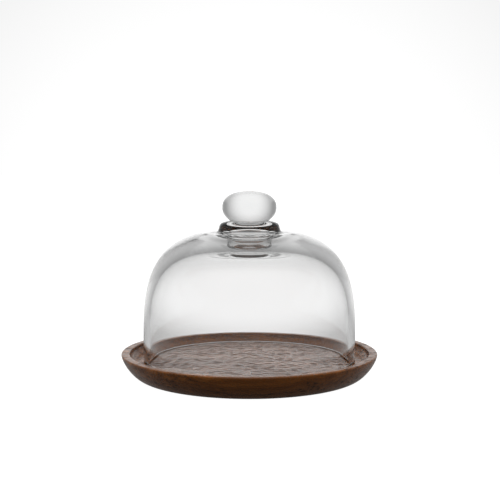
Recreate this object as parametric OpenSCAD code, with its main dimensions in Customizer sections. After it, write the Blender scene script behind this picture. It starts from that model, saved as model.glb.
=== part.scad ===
// Cheese dome: a turned wooden plate with a rim, and a clear glass cover that stands in its recess.
// Millimetres, +Z up. The origin is on the surface that the plate stands on, on the common axis.

/* [Wooden plate] */
// Overall diameter of the plate
plate_d = 160; // [154:1:220]
// Height of the plate, from the surface it stands on to the top of its rim
plate_h = 14.5; // [12:0.5:20]
// Width of the flat band on top of the rim, its rounded edges included
rim_w = 5.2; // [3:0.1:8]
// Depth of the recess that the cover stands in
recess_depth = 5; // [3:0.1:7]
// Radius of the rounded edges of the rim
rim_edge_r = 0.8; // [0.3:0.1:1.2]
// Diameter of the flat foot that the plate stands on
foot_d = 138; // [126:1:142]
// Power of the plate's side curve: 1 is a straight bevel, 2 is a quarter ellipse
side_power = 1.4; // [1.1:0.1:2]
// Width of the foot ring around the hollow in the underside
foot_ring_w = 9; // [5:1:20]
// Depth of the hollow in the underside
foot_hollow = 1; // [0.5:0.1:2]

/* [Glass cover] */
// Outside diameter of the cover at its mouth
cover_d = 132.6; // [126:0.1:136]
// Height of the cover, from its mouth to the top of the knob
cover_h = 105.5; // [100:0.5:108]
// Height of the bell alone, from its mouth to its crown
bell_h = 81.6; // [79:0.1:86]
// Height of the straight stretch of wall above the mouth
straight_h = 10.5; // [5:0.5:20]
// Power of the bell's curve: 2 is a half ellipse, more is squarer
bell_power = 3.15; // [2.8:0.05:3.4]
// Depth of the shallow dip in the crown around the knob's foot
crown_dip = 1.1; // [0:0.1:1.5]
// Thickness of the glass at the mouth
wall_t = 4; // [3:0.1:5]
// Thickness of the glass at the crown, beside the pocket
crown_t = 8; // [7.5:0.1:9.5]
// Radius of the rounded edges of the mouth
lip_r = 1.4; // [0.5:0.1:1.5]
// Diameter of the pocket in the ceiling, under the knob
pocket_d = 24; // [16:0.5:26]
// Height of the pocket above the ceiling
pocket_h = 7; // [4:0.1:7.5]
// Radius of the pocket's rounded edge
pocket_edge_r = 3; // [1:0.5:3.5]

/* [Knob] */
// Diameter of the knob at its widest
knob_d = 34; // [30:0.5:40]
// Height of the knob above its widest place
knob_top_h = 10.5; // [9:0.5:12]
// Power of the knob's upper curve: 2 is a half ellipse, more is squarer
knob_power = 2.35; // [2:0.05:2.6]
// Depth of the knob's lower curve, if it ran on down to the axis
knob_low_h = 11.3; // [11:0.1:13]
// Diameter of the foot that joins the knob to the bell, at its shoulder
collar_d = 37.8; // [36:0.1:42]
// Height of the foot above the bell's crown
collar_h = 5.3; // [5.3:0.1:7]
// How much wider the foot is at its base, all round
collar_flare = 0.5; // [0:0.1:1]
// Width of the foot's rounded shoulder
shoulder_w = 6; // [3:0.1:6.6]
// Height of the foot's rounded shoulder
shoulder_h = 3.9; // [3:0.1:4.8]
// Radius of the hollow fillet between the foot and the bell
fillet_r = 1.4; // [0.5:0.1:2]

/* [Hidden] */

$fn = 128;
curve_steps = 28;    // stretches in one run of the bell's curve
edge_steps = 6;      // stretches in a small rounded edge

floor_z = plate_h - recess_depth;
rim_in_r = plate_d / 2 - rim_w;
cove_r = recess_depth - rim_edge_r;
crown_z = floor_z + bell_h;
spring_z = floor_z + straight_h;     // where the bell's wall starts to curve in
knob_z = floor_z + cover_h - knob_top_h;
collar_top_z = crown_z + collar_h;

walnut = [0.25, 0.15, 0.09];
clear_glass = [0.86, 0.91, 0.92, 0.35];
tinted_glass = [0.62, 0.68, 0.70, 0.5];

// Points along an arc about [x, z], from angle a0 to angle a1
function arc(x, z, r, a0, a1, steps) =
    [for (i = [0:steps]) let (a = a0 + (a1 - a0) * i / steps) [x + r * cos(a), z + r * sin(a)]];

// Point of a quarter superellipse with half axes rx and rz, at parameter angle t
function super_point(rx, rz, power, t) = [rx * pow(cos(t), 2 / power), rz * pow(sin(t), 2 / power)];

// Parameter angle at which that superellipse has the radius r
function super_angle(rx, power, r) = acos(pow(r / rx, power / 2));

// The stretch of the superellipse between two parameter angles, with its foot at height z
function super_run(rx, rz, power, z, t0, t1, steps) =
    [for (i = [0:steps]) super_point(rx, rz, power, t0 + (t1 - t0) * i / steps) + [0, z]];

// Half axes of the bell's outside and inside curves
out_rx = cover_d / 2;
out_rz = bell_h - straight_h;
in_rx = out_rx - wall_t;
in_rz = out_rz - crown_t;

// The dip is a smooth ring-shaped hollow, deepest at dip_r from the axis
dip_r = 23;
dip_w = 4.5;
function dip(r) = crown_dip * exp(-pow((r - dip_r) / dip_w, 2));
function dipped(points) = [for (p = points) [p[0], p[1] - dip(p[0])]];

// The outside of the bell between two radii
function outside(r0, r1, steps) = dipped(super_run(out_rx, out_rz, bell_power, spring_z,
    super_angle(out_rx, bell_power, r0), super_angle(out_rx, bell_power, r1), steps));

// The foot's fillet runs down to the bell at fillet_end degrees, at the radius base_r
fillet_end = 250;
flank_r = collar_d / 2 + collar_flare;
base_r = flank_r + fillet_r * (1 + cos(fillet_end));
fillet_z = outside(base_r, 0, 1)[0][1] - fillet_r * sin(fillet_end);

// The outside of the bell under the knob's foot, from the foot's edge to the axis
function crown_run() = outside(base_r, 0, curve_steps);

// The inside of the bell, from the top of its pocket down to the spring of the wall
pocket_r = pocket_d / 2;
ceiling_r = pocket_r + pocket_edge_r;
ceiling_angle = super_angle(in_rx, bell_power, ceiling_r);
ceiling_z = spring_z + super_point(in_rx, in_rz, bell_power, ceiling_angle)[1];
pocket_base_z = ceiling_z + pocket_edge_r;
pocket_top_z = crown_z - crown_t + pocket_h;
function inside() = concat(
    [for (i = [0:curve_steps]) let (a = 90 - 90 * i / curve_steps)
        [pocket_r * cos(a), pocket_base_z + (pocket_top_z - pocket_base_z) * sin(a)]],
    arc(ceiling_r, pocket_base_z, pocket_edge_r, 180 + 90 / edge_steps, 270, edge_steps - 1),
    super_run(in_rx, in_rz, bell_power, spring_z, ceiling_angle * (1 - 1 / curve_steps), 0, curve_steps)
);

// Angle at which the knob's lower curve is cut off level, to stand on its foot
knob_cut_angle = -asin((knob_z - collar_top_z) / knob_low_h);

// Turned plate: foot ring, curved side, flat rim with rounded edges, cove and level floor
module wooden_plate() {
    side_h = plate_h - rim_edge_r;
    side_w = (plate_d - foot_d) / 2;
    hollow_r = foot_d / 2 - foot_ring_w;
    side = [for (i = [0:curve_steps]) let (p = super_point(side_h, side_w, side_power, 90 * i / curve_steps))
        [foot_d / 2 + p[1], side_h - p[0]]];
    color(walnut) rotate_extrude() polygon(concat(
        [[0, foot_hollow], [hollow_r - foot_hollow, foot_hollow], [hollow_r, 0]],
        side,
        arc(plate_d / 2 - rim_edge_r, side_h, rim_edge_r, 90 / edge_steps, 90, edge_steps - 1),
        arc(rim_in_r + rim_edge_r, side_h, rim_edge_r, 90, 180, edge_steps),
        arc(rim_in_r - cove_r, side_h, cove_r, -90 / curve_steps, -90, curve_steps - 1),
        [[0, floor_z]]
    ));
}

// Hollow glass bell, thickest at its crown, with a rounded lip and a pocket under the knob
module glass_bell() {
    color(clear_glass) rotate_extrude() polygon(concat(
        arc(in_rx + lip_r, floor_z + lip_r, lip_r, 180, 270, edge_steps),
        arc(out_rx - lip_r, floor_z + lip_r, lip_r, 270, 360, edge_steps),
        outside(out_rx, base_r, curve_steps),
        [for (i = [1:curve_steps]) crown_run()[i]],
        inside()
    ));
}

// Round glass foot between the bell and the knob, hollowed underneath to lie on the bell
module knob_foot() {
    shoulder_r = collar_d / 2 - shoulder_w;
    shoulder_z = collar_top_z - shoulder_h;
    shoulder = [for (i = [0:curve_steps]) let (a = 90 - 90 * i / curve_steps)
        [shoulder_r + shoulder_w * cos(a), shoulder_z + shoulder_h * sin(a)]];
    color(tinted_glass) rotate_extrude() polygon(concat(
        [[0, collar_top_z]],
        shoulder,
        arc(flank_r + fillet_r, fillet_z, fillet_r, 180, fillet_end, edge_steps),
        [for (i = [1:curve_steps]) crown_run()[i]]
    ));
}

// Solid glass ball, flattened, and cut level where it stands on its foot
module knob_ball() {
    upper = super_run(knob_d / 2, knob_top_h, knob_power, knob_z, 90, 0, curve_steps);
    lower = [for (i = [1:curve_steps]) let (a = knob_cut_angle * i / curve_steps)
        [knob_d / 2 * cos(a), knob_z + knob_low_h * sin(a)]];
    color(clear_glass) rotate_extrude() polygon(concat(upper, lower, [[0, collar_top_z]]));
}

wooden_plate();
glass_bell();
knob_foot();
knob_ball();
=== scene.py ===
import math

import bpy
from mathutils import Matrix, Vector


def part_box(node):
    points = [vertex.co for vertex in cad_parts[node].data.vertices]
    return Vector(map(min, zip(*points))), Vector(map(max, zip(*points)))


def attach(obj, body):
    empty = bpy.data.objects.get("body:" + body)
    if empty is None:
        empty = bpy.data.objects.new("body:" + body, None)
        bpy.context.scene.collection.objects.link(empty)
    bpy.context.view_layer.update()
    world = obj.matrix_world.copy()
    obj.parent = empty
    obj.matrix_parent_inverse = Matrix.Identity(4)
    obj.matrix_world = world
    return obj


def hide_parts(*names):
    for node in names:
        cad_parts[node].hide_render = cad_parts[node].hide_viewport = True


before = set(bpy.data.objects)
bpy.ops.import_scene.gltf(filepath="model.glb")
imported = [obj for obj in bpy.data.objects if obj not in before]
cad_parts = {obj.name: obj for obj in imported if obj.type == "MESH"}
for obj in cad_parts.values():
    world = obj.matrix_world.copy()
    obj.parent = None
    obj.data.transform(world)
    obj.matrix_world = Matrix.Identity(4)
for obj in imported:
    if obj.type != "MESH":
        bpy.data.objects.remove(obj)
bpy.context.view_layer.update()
mm = 0.001
bpy.ops.object.select_all(action="DESELECT")


# Camera

camera = {
    "place": (0.0004, -0.5897, 0.1256),
    "tip": 85.395,           # degrees up from looking straight down
    "lens": 68.1,            # millimetres, on a 36 mm sensor
}


def placeCamera(c):
    turned = (math.radians(c["tip"]), 0, 0)
    bpy.ops.object.camera_add(location=c["place"], rotation=turned)
    cameraObject = bpy.context.object
    cameraObject.name = "camera"
    cameraObject.data.lens = c["lens"]
    bpy.context.scene.camera = cameraObject
    print("camera placed")


placeCamera(camera)


# Profiles: lists of (radius, height) points in millimetres

def superRun(radius, height, power, base, startAngle, endAngle, steps):
    # a stretch of a quarter superellipse
    points = []
    for i in range(steps + 1):
        angle = math.radians(startAngle + (endAngle - startAngle) * i / steps)
        across = radius * max(math.cos(angle), 0) ** (2 / power)
        up = height * max(math.sin(angle), 0) ** (2 / power)
        points.append((across, base + up))
    return points


def ovalRun(centre, across, up, startAngle, endAngle, steps):
    # a stretch of an ellipse, or of a circle when both half axes are the same
    points = []
    for i in range(steps + 1):
        angle = math.radians(startAngle + (endAngle - startAngle) * i / steps)
        points.append((centre[0] + across * math.cos(angle), centre[1] + up * math.sin(angle)))
    return points


def turnProfile(name, profile, steps):
    # one corner is drawn along the profile and then spun about the upright axis
    bpy.ops.object.select_all(action="DESELECT")
    start = profile[0]
    bpy.ops.mesh.primitive_plane_add(size=1 * mm, location=(start[0] * mm, 0, start[1] * mm))
    piece = bpy.context.object
    piece.name = name
    bpy.ops.object.transform_apply(location=True, rotation=True, scale=True)
    bpy.ops.object.mode_set(mode="EDIT")
    bpy.ops.mesh.select_all(action="SELECT")
    bpy.ops.mesh.merge(type="CENTER")
    last = start
    for point in profile[1:]:
        step = ((point[0] - last[0]) * mm, 0, (point[1] - last[1]) * mm)
        bpy.ops.mesh.extrude_region_move(TRANSFORM_OT_translate={"value": step})
        last = point
    bpy.ops.mesh.select_all(action="SELECT")
    bpy.ops.mesh.spin(steps=steps, angle=math.tau, center=(0, 0, 0), axis=(0, 0, 1))
    bpy.ops.mesh.select_all(action="SELECT")
    bpy.ops.mesh.remove_doubles(threshold=0.002 * mm)
    bpy.ops.mesh.normals_make_consistent(inside=False)
    bpy.ops.mesh.faces_shade_smooth()
    bpy.ops.object.mode_set(mode="OBJECT")
    return piece


# Shader maths

class Wire:
    # an output socket that Python's own operators join with Math nodes
    def __init__(self, board, socket):
        self.board = board
        self.socket = socket

    def maths(self, operation, first, second):
        return self.board.add("ShaderNodeMath", {"operation": operation}, {0: first, 1: second})

    def __add__(self, other):
        return self.maths("ADD", self, other)

    def __sub__(self, other):
        return self.maths("SUBTRACT", self, other)

    def __mul__(self, other):
        return self.maths("MULTIPLY", self, other)

    def __truediv__(self, other):
        return self.maths("DIVIDE", self, other)

    def __radd__(self, other):
        return self.maths("ADD", other, self)

    def __rsub__(self, other):
        return self.maths("SUBTRACT", other, self)

    def __rmul__(self, other):
        return self.maths("MULTIPLY", other, self)


class Board:
    # the nodes of one material, or of the world
    def __init__(self, tree):
        self.tree = tree

    def feed(self, socket, value):
        if isinstance(value, Wire):
            self.tree.links.new(value.socket, socket)
        else:
            socket.default_value = value

    def add(self, kind, settings, inputs, output=0):
        node = self.tree.nodes.new(kind)
        for name, value in settings.items():
            setattr(node, name, value)
        for name, value in inputs.items():
            self.feed(node.inputs[name], value)
        return Wire(self, node.outputs[output])

    def place(self):
        return self.add("ShaderNodeTexCoord", {}, {}, "Object")

    def stretch(self, vector, scale, shift=(0, 0, 0)):
        return self.add("ShaderNodeMapping", {}, {"Vector": vector, "Location": shift, "Scale": scale})

    def noise(self, place, repeats, detail, rough=0.5):
        # repeats says how often the pattern comes in a metre along X, Y and Z
        field = self.stretch(place, repeats)
        inputs = {"Vector": field, "Scale": 1.0, "Detail": detail, "Roughness": rough}
        return self.add("ShaderNodeTexNoise", {}, inputs)

    def fade(self, value, start, end, low=0.0, high=1.0):
        # low at start, high at end, and a smooth slope between
        inputs = {"Value": value, "From Min": start, "From Max": end, "To Min": low, "To Max": high}
        return self.add("ShaderNodeMapRange", {"interpolation_type": "SMOOTHSTEP"}, inputs)

    def blend(self, factor, first, second):
        # input 0 is the Mix node's factor; inputs 6 and 7 and output 2 are its colours
        settings = {"data_type": "RGBA", "blend_type": "MIX"}
        return self.add("ShaderNodeMix", settings, {0: factor, 6: first, 7: second}, 2)

    def bump(self, height, strength, distance):
        settings = {"Height": height, "Strength": strength, "Distance": distance}
        return self.add("ShaderNodeBump", {}, settings)

    def ray(self, kind):
        return self.add("ShaderNodeLightPath", {}, {}, kind)


def newMaterial(name):
    material = bpy.data.materials.new(name)
    material.use_nodes = True
    return material, Board(material.node_tree), material.node_tree.nodes["Principled BSDF"]


def colour(red, green, blue):
    return (red, green, blue, 1.0)


# Wooden plate, in millimetres

plate = {
    "radius": 80.0, "height": 14.5, "rim": 5.2, "recess": 5.0, "edge": 0.8,
    "foot": 69.0, "sidePower": 1.4, "footRing": 9.0, "footHollow": 1.0,
    "sideSteps": 32, "around": 256,
}


def plateProfile(p):
    # from the middle of the underside, out round the rim, to the middle of the recess;
    # a run starts a few degrees in, where the run before it has already set the point
    sideTop = p["height"] - p["edge"]
    sideWidth = p["radius"] - p["foot"]
    rimInner = p["radius"] - p["rim"]
    cove = p["recess"] - p["edge"]
    hollow = p["foot"] - p["footRing"]
    profile = [(0, p["footHollow"]), (hollow * 0.5, p["footHollow"])]
    profile += ovalRun((hollow - p["footHollow"], 0), p["footHollow"], p["footHollow"], 90, 0, 6)
    for i in range(p["sideSteps"] + 1):
        angle = math.radians(90 * i / p["sideSteps"])
        out = sideWidth * math.sin(angle) ** (2 / p["sidePower"])
        up = sideTop * (1 - max(math.cos(angle), 0) ** (2 / p["sidePower"]))
        profile.append((p["foot"] + out, up))
    profile += ovalRun((p["radius"] - p["edge"], sideTop), p["edge"], p["edge"], 10, 90, 8)
    profile += ovalRun((rimInner + p["edge"], sideTop), p["edge"], p["edge"], 90, 180, 9)
    profile += ovalRun((rimInner - cove, sideTop), cove, cove, -8, -90, 14)
    profile += [(rimInner * 0.6, p["height"] - p["recess"]), (0, p["height"] - p["recess"])]
    return profile


def makePlate(p):
    piece = turnProfile("turned_plate", plateProfile(p), p["around"])
    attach(piece, "plate")
    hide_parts("wooden_plate")
    print("plate turned")
    return piece


walnut = {
    "heart": (0.0, 0.031, 0.118),      # how far the tree's middle is from the plate's, in metres
    "ringStep": 0.0062,                # distance between two growth rings
    "ringSway": 0.016,                 # how far a ring strays from its circle
    "lateWood": (0.45, 0.97),          # where in a ring the late wood starts and is darkest
    "pale": colour(0.330, 0.118, 0.024),
    "brown": colour(0.210, 0.068, 0.010),
    "dark": colour(0.115, 0.035, 0.005),
    "pore": colour(0.020, 0.007, 0.002),
    # how often each part of the figure repeats in a metre, along X and across
    "sway": (6, 22, 22), "cloud": (14, 26, 26),
    "broad": (18, 270, 270), "fine": (210, 1300, 1300),
    "pores": (160, 560, 560), "porePatches": (30, 110, 110),
    "poreDepth": 0.62,                 # how far a pore's colour shows
    "gloss": (0.14, 0.34),             # roughness between the fibres, and on them
    "shine": 0.62,                     # specular level
    "relief": 0.26, "reliefHeight": 0.0002,
}


def walnutMaterial(w):
    material, board, shader = newMaterial("darkWalnut")
    place = board.place()

    # growth rings: bands by the distance from the heart, a line along X, a little wavy
    sway = board.noise(place, w["sway"], 2.0)
    across = board.stretch(place, (0, 1, 1), w["heart"])
    depth = board.add("ShaderNodeVectorMath", {"operation": "LENGTH"}, {0: across}, "Value")
    turns = (depth + (sway - 0.5) * w["ringSway"]) / w["ringStep"]
    ring = board.add("ShaderNodeMath", {"operation": "FRACT"}, {0: turns})
    lateStart, lateEnd = w["lateWood"]
    late = board.fade(ring, lateStart, lateEnd) - board.fade(ring, lateEnd, 1.0)

    # fibres and pores run along X
    broad = board.noise(place, w["broad"], 4.0, 0.6)
    fine = board.noise(place, w["fine"], 4.0, 0.7)
    cloud = board.noise(place, w["cloud"], 3.0, 0.55)
    poreField = board.stretch(place, w["pores"])
    pit = board.add("ShaderNodeTexVoronoi", {"feature": "F1"}, {"Vector": poreField, "Scale": 1.0})
    patch = board.fade(board.noise(place, w["porePatches"], 2.0), 0.36, 0.56)
    pore = (1 - board.fade(pit, 0.18, 0.44)) * patch

    # colour: broad streaks, evened out by clouds, then late wood, fine fibres and pores
    tone = board.blend(board.fade(broad, 0.34, 0.66), w["dark"], w["pale"])
    tone = board.blend(board.fade(cloud, 0.30, 0.70, 0.2, 0.8), tone, w["brown"])
    tone = board.blend(late * 0.5, tone, w["dark"])
    tone = board.blend(board.fade(fine, 0.42, 0.62, 0.0, 0.5), tone, w["dark"])
    tone = board.blend(pore * w["poreDepth"], tone, w["pore"])
    board.feed(shader.inputs["Base Color"], tone)

    # finish: glossy between the fibres, dull in the pores
    rough = board.fade(fine, 0.42, 0.60, w["gloss"][0], w["gloss"][1]) + pore * 0.5 + late * 0.04
    board.feed(shader.inputs["Roughness"], rough)
    shader.inputs["Specular IOR Level"].default_value = w["shine"]

    relief = broad * 0.15 + fine * 0.8 - pore * 1.3 - late * 0.2
    board.feed(shader.inputs["Normal"], board.bump(relief, w["relief"], w["reliefHeight"]))
    return material


# Glass cover: bell, foot and knob are fused, so they are one piece of glass, in millimetres

cover = {
    "mouthRadius": 66.3, "bellHeight": 81.6, "straight": 10.5, "power": 3.15, "innerPower": 3.15,
    "dip": 1.1, "dipRadius": 23.0, "dipWidth": 4.5,
    "wall": 4.0, "crown": 8.0, "lip": 1.4,
    "pocketRadius": 12.0, "pocketHeight": 7.0, "pocketEdge": 3.0,
    "height": 105.5, "knobRadius": 17.0, "knobTop": 10.5, "knobPower": 2.35, "knobLow": 11.3,
    "footRadius": 18.9, "footHeight": 5.3, "footFlare": 0.5,
    "shoulderWidth": 6.0, "shoulderHeight": 3.9, "fillet": 1.4, "filletEnd": 250.0,
    "outerSteps": 110, "innerSteps": 72, "knobSteps": 22, "capSteps": 30, "around": 224,
}


def superAngle(radius, power, across):
    # the angle at which the superellipse is this far from the axis
    return math.degrees(math.acos((across / radius) ** (power / 2)))


def outerBell(c, spring, endAngle):
    # the outside of the bell from its straight wall up, with its shallow dip around the foot
    rise = c["bellHeight"] - c["straight"]
    points = superRun(c["mouthRadius"], rise, c["power"], spring, 0, endAngle, c["outerSteps"])
    dipped = []
    for across, up in points:
        away = (across - c["dipRadius"]) / c["dipWidth"]
        dipped.append((across, up - c["dip"] * math.exp(-away * away)))
    return dipped


def innerBell(c, spring):
    # the pocket under the knob, its rounded edge, and the bell's inside down to the straight wall
    radius = c["mouthRadius"] - c["wall"]
    rise = c["bellHeight"] - c["straight"] - c["crown"]
    ceiling = c["pocketRadius"] + c["pocketEdge"]
    angle = superAngle(radius, c["innerPower"], ceiling)
    bell = superRun(radius, rise, c["innerPower"], spring, angle, 0, c["innerSteps"])
    pocketBase = bell[0][1] + c["pocketEdge"]
    pocketTop = spring + rise + c["pocketHeight"]
    pocket = ovalRun((0, pocketBase), c["pocketRadius"], pocketTop - pocketBase, 90, 0, 24)
    edge = ovalRun((ceiling, pocketBase), c["pocketEdge"], c["pocketEdge"], 190, 270, 10)
    return pocket + edge + bell[1:]


def coverProfile(c, floor):
    # from the top of the pocket, down the inside, round the lip and up the outside to the knob
    spring = floor + c["straight"]
    knobMiddle = floor + c["height"] - c["knobTop"]
    footTop = floor + c["bellHeight"] + c["footHeight"]
    flank = c["footRadius"] + c["footFlare"]
    lipInner = c["mouthRadius"] - c["wall"] + c["lip"]
    lipOuter = c["mouthRadius"] - c["lip"]

    lip = ovalRun((lipInner, floor + c["lip"]), c["lip"], c["lip"], 180, 270, 10)
    lip += ovalRun((lipOuter, floor + c["lip"]), c["lip"], c["lip"], 270, 360, 10)
    footEdge = flank + c["fillet"] * (1 + math.cos(math.radians(c["filletEnd"])))
    stop = superAngle(c["mouthRadius"], c["power"], footEdge)
    outer = outerBell(c, spring, stop)
    filletMiddle = outer[-1][1] - c["fillet"] * math.sin(math.radians(c["filletEnd"]))
    fillet = ovalRun((flank + c["fillet"], filletMiddle), c["fillet"], c["fillet"],
                     c["filletEnd"] - 7, 180, 10)
    shoulderPlace = (c["footRadius"] - c["shoulderWidth"], footTop - c["shoulderHeight"])
    shoulder = ovalRun(shoulderPlace, c["shoulderWidth"], c["shoulderHeight"], 0, 90, c["knobSteps"])
    cut = math.degrees(math.asin((knobMiddle - footTop) / c["knobLow"]))
    knob = ovalRun((0, knobMiddle), c["knobRadius"], c["knobLow"], -cut, 0, c["knobSteps"])
    knob += superRun(c["knobRadius"], c["knobTop"], c["knobPower"], knobMiddle, 3, 90, c["capSteps"])
    return innerBell(c, spring) + lip + outer + fillet + shoulder + knob


def makeCover(c):
    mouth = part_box("glass_bell")[0].z / mm
    piece = turnProfile("glass_cover", coverProfile(c, mouth), c["around"])
    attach(piece, "cover")
    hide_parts("glass_bell", "knob_foot", "knob_ball")
    print("glass cover turned")
    return piece


glass = {
    "index": 1.5,
    "clear": (0.55, 0.565, 0.56, 1.0),  # what a thick run of the glass lets through
    "density": 8.5,                     # per metre
    "wave": 0.012, "waveHeight": 0.004, "waves": (26, 26, 34),
}


def glassMaterial(g):
    material, board, shader = newMaterial("clearGlass")
    shader.inputs["Base Color"].default_value = (1, 1, 1, 1)
    shader.inputs["Roughness"].default_value = 0.0
    shader.inputs["IOR"].default_value = g["index"]
    shader.inputs["Transmission Weight"].default_value = 1.0
    # the faint unevenness of glass blown in a mould
    wave = board.noise(board.place(), g["waves"], 1.5, 0.4)
    board.feed(shader.inputs["Normal"], board.bump(wave, g["wave"], g["waveHeight"]))
    body = {"Color": g["clear"], "Density": g["density"]}
    inside = board.add("ShaderNodeVolumeAbsorption", {}, body)
    outlet = material.node_tree.nodes["Material Output"]
    board.feed(outlet.inputs["Volume"], inside)
    return material


woodenPlate = makePlate(plate)
woodenPlate.data.materials.append(walnutMaterial(walnut))
glassCover = makeCover(cover)
glassCover.data.materials.append(glassMaterial(glass))
print("materials made")


# Studio: a pale floor and a bright wall behind, which fall off to a soft grey all round

studio = {
    "eye": 0.09,                       # height that the floor's own falloff is seen from
    "tip": 6.0,                        # the middle of the bright wall is this many degrees down
    "back": 1.05, "side": 0.34,        # brightness behind, and all round
    "fade": (9.0, 52.0),               # degrees away from the middle
    "near": 0.06, "nearFade": (80.0, 130.0),       # the near side, as reflections see it
    "above": 0.42, "aboveFade": (0.45, 0.90),      # a soft light overhead
    "wash": 1.5, "washFade": (0.10, 0.60),         # what it gives to matt surfaces
    "pool": (0.30, 1.1),               # the floor glows white out to here, a painted pool of light, and like the wall from there
    "poolWhite": 0.97,                 # the white that the camera sees there
    "poolGlow": 0.60,                  # the least that shows there through the glass
    "floorRadius": 60.0, "floorTone": 0.2,         # lengths in metres
}


def glowBehind(board, direction, s):
    # brightness by the angle away from the middle of the bright wall
    tip = math.radians(s["tip"])
    middle = (0, math.cos(tip), -math.sin(tip))
    both = {0: direction, 1: middle}
    dot = board.add("ShaderNodeVectorMath", {"operation": "DOT_PRODUCT"}, both, "Value")
    angle = board.add("ShaderNodeMath", {"operation": "ARCCOSINE"}, {0: dot})
    inner, outer = [math.radians(a) for a in s["fade"]]
    glow = board.fade(angle, inner, outer, s["back"], s["side"])

    # reflections see a dark near side; the camera, and rays through the glass, don't
    nearInner, nearOuter = [math.radians(a) for a in s["nearFade"]]
    dark = board.fade(angle, nearInner, nearOuter, 0.0, s["side"] - s["near"])
    return glow - dark * (1 - board.ray("Is Transmission Ray")) * (1 - board.ray("Is Camera Ray"))


def makeWorld(s):
    world = bpy.data.worlds.new("studio")
    bpy.context.scene.world = world
    world.use_nodes = True
    board = Board(world.node_tree)
    background = world.node_tree.nodes["Background"]
    direction = board.add("ShaderNodeTexCoord", {}, {}, "Generated")
    glow = glowBehind(board, direction, s)
    up = board.add("ShaderNodeSeparateXYZ", {}, {0: direction}, "Z")
    above = board.fade(up, s["aboveFade"][0], s["aboveFade"][1], 0.0, s["above"])
    light = board.add("ShaderNodeMath", {"operation": "MAXIMUM"}, {0: glow, 1: above})

    # a ray that has left a matt surface finds the wash from overhead instead
    wash = board.fade(up, s["washFade"][0], s["washFade"][1], s["near"], s["wash"])
    bounces = board.ray("Diffuse Depth")
    matt = board.add("ShaderNodeMath", {"operation": "MINIMUM"}, {0: bounces, 1: 1.0})
    light = light + matt * (wash - light)
    board.feed(background.inputs["Strength"], light)
    background.inputs["Color"].default_value = (1, 1, 1, 1)


def makeFloor(s):
    bpy.ops.object.select_all(action="DESELECT")
    bpy.ops.mesh.primitive_circle_add(vertices=64, radius=s["floorRadius"], fill_type="NGON")
    floor = bpy.context.object
    floor.name = "floor"
    material, board, shader = newMaterial("paleFloor")
    tone = s["floorTone"]
    shader.inputs["Base Color"].default_value = colour(tone, tone, tone)
    shader.inputs["Roughness"].default_value = 0.9
    shader.inputs["Specular IOR Level"].default_value = 0.0
    shader.inputs["Emission Strength"].default_value = 1.0

    # to the camera the floor glows: a painted pool of white light near the object, which falls off
    # into painted shade as the wall does
    place = board.place()
    spot = board.add("ShaderNodeVectorMath", {"operation": "ADD"}, {0: place, 1: (0, 0, -s["eye"])})
    direction = board.add("ShaderNodeVectorMath", {"operation": "NORMALIZE"}, {0: spot})
    glow = glowBehind(board, direction, s)
    away = board.add("ShaderNodeVectorMath", {"operation": "LENGTH"}, {0: place}, "Value")
    far = board.fade(away, s["pool"][0], s["pool"][1])
    shade = board.add("ShaderNodeCombineColor", {}, {0: glow, 1: glow, 2: glow})
    white = colour(s["poolWhite"], s["poolWhite"], s["poolWhite"])
    board.feed(shader.inputs["Emission Color"], board.blend(far, white, shade))

    # to other rays it is a lamp, lifted near the object for those through the glass
    lift = board.add("ShaderNodeMath", {"operation": "MAXIMUM"}, {0: s["poolGlow"] - glow, 1: 0.0})
    pale = board.ray("Is Transmission Ray") * (1 - far) * lift
    lamp = board.add("ShaderNodeEmission", {}, {"Strength": glow + pale})
    face = Wire(board, shader.outputs["BSDF"])
    above = board.add("ShaderNodeMixShader", {}, {0: board.ray("Is Camera Ray"), 1: lamp, 2: face})

    # from below the floor isn't there, so that the underside of the plate can be looked at
    below = board.add("ShaderNodeNewGeometry", {}, {}, "Backfacing")
    nothing = board.add("ShaderNodeBsdfTransparent", {}, {})
    surface = board.add("ShaderNodeMixShader", {}, {0: below, 1: above, 2: nothing})
    board.feed(material.node_tree.nodes["Material Output"].inputs["Surface"], surface)
    floor.data.materials.append(material)


makeWorld(studio)
makeFloor(studio)
bpy.context.scene.view_settings.view_transform = "Standard"
print("studio lit")
